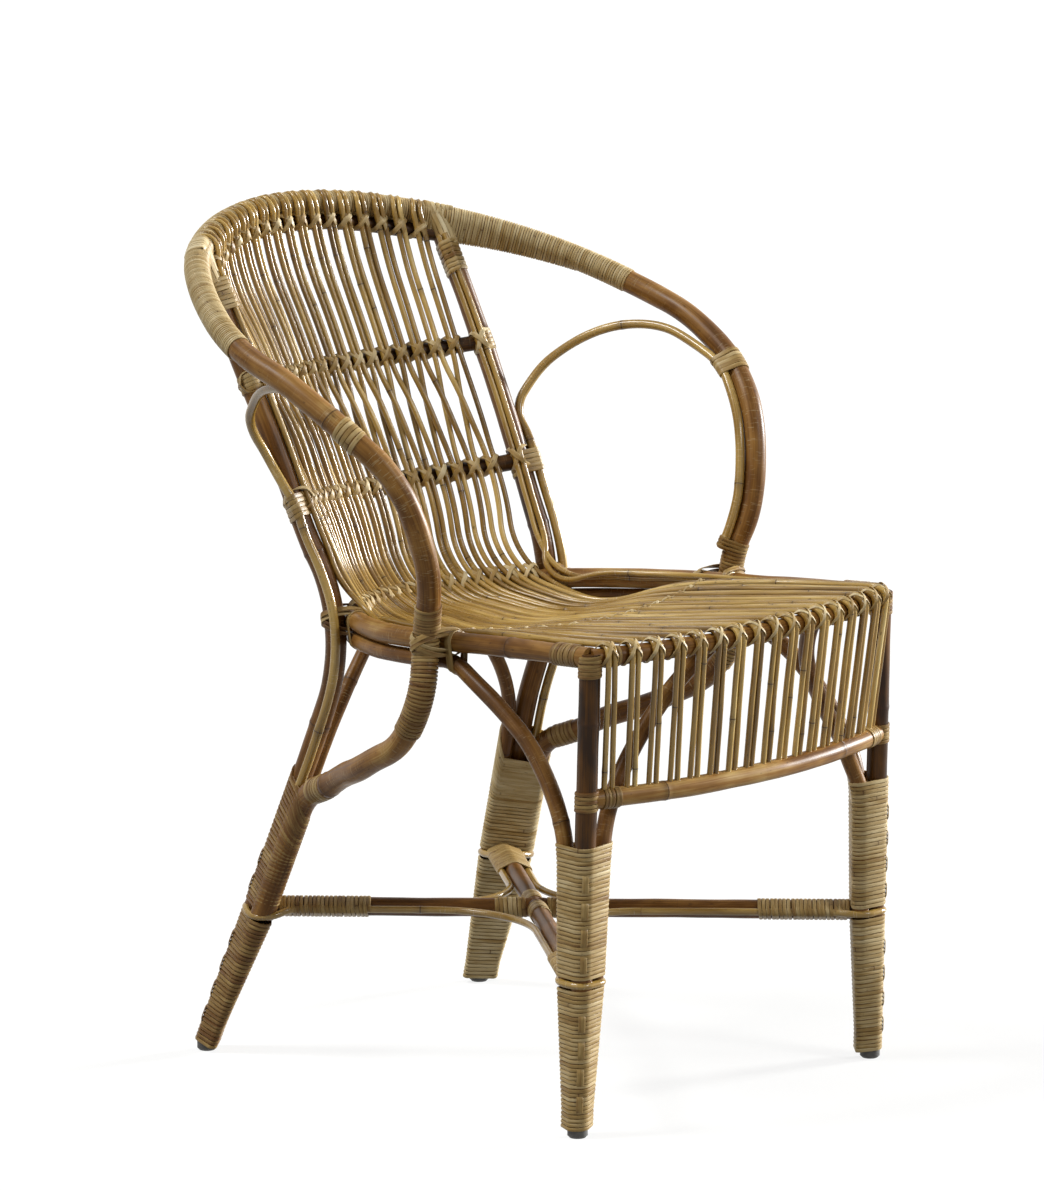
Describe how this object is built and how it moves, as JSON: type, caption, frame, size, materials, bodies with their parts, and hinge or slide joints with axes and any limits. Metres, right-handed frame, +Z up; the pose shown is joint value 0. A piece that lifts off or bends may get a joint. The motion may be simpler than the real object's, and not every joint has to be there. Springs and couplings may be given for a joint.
{
  "type": "rattan dining armchair",
  "caption": "Rattan armchair with a bent arm hoop round the back, open cane-pair back and seat that run down as a skirt, bound legs and crossed stretchers.",
  "frame": {"origin": "on the floor under the middle of the bounding box", "axes": "+Z up, -Y the front of the seat, +X the sitter's left"},
  "size_m": [0.5482, 0.6179, 0.7544],
  "materials": {
    "rattan_pole": "satin natural rattan with darker node rings",
    "thin_cane": "satin natural cane",
    "binding_strip": "pale split cane strip, slightly glossy",
    "glide_plastic": "matt dark grey"
  },
  "bodies": {
    "root": {"arm_binding_left": "binding_strip", "arm_binding_right": "binding_strip", "arm_hoop": "rattan_pole", "arm_loop_left": "thin_cane", "arm_loop_right": "thin_cane", "arm_seat_binding_left": "binding_strip", "arm_seat_binding_right": "binding_strip", "arm_ties": "binding_strip", "back_lower_rail": "rattan_pole", "back_post_left": "rattan_pole", "back_post_right": "rattan_pole", "back_top_rail": "rattan_pole", "back_upper_rail": "rattan_pole", "brace_hoop": "rattan_pole", "cane_pair_01": "thin_cane", "cane_pair_02": "thin_cane", "cane_pair_03": "thin_cane", "cane_pair_04": "thin_cane", "cane_pair_05": "thin_cane", "cane_pair_06": "thin_cane", "cane_pair_07": "thin_cane", "cane_pair_08": "thin_cane", "cane_pair_09": "thin_cane", "cane_pair_10": "thin_cane", "cane_pair_11": "thin_cane", "cane_pair_12": "thin_cane", "cane_pair_13": "thin_cane", "cane_pair_14": "thin_cane", "cane_pair_15": "thin_cane", "cane_pair_16": "thin_cane", "cane_pair_17": "thin_cane", "foot_glides": "glide_plastic", "front_brace_left": "rattan_pole", "front_brace_right": "rattan_pole", "front_corner_binding_left": "binding_strip", "front_corner_binding_right": "binding_strip", "front_leg_binding_left": "binding_strip", "front_leg_binding_right": "binding_strip", "front_leg_left": "rattan_pole", "front_leg_right": "rattan_pole", "front_rail": "rattan_pole", "rear_brace_left": "rattan_pole", "rear_brace_right": "rattan_pole", "rear_leg_binding_left": "binding_strip", "rear_leg_binding_right": "binding_strip", "seat_crossbar": "rattan_pole", "seat_hoop": "rattan_pole", "skirt_rail": "rattan_pole", "skirt_rail_ties": "binding_strip", "stretcher_bindings": "binding_strip", "stretcher_centre_bindings": "binding_strip", "stretcher_front_left": "rattan_pole", "stretcher_front_right": "rattan_pole", "stretcher_star_cane": "thin_cane"}
  },
  "joints": []
}
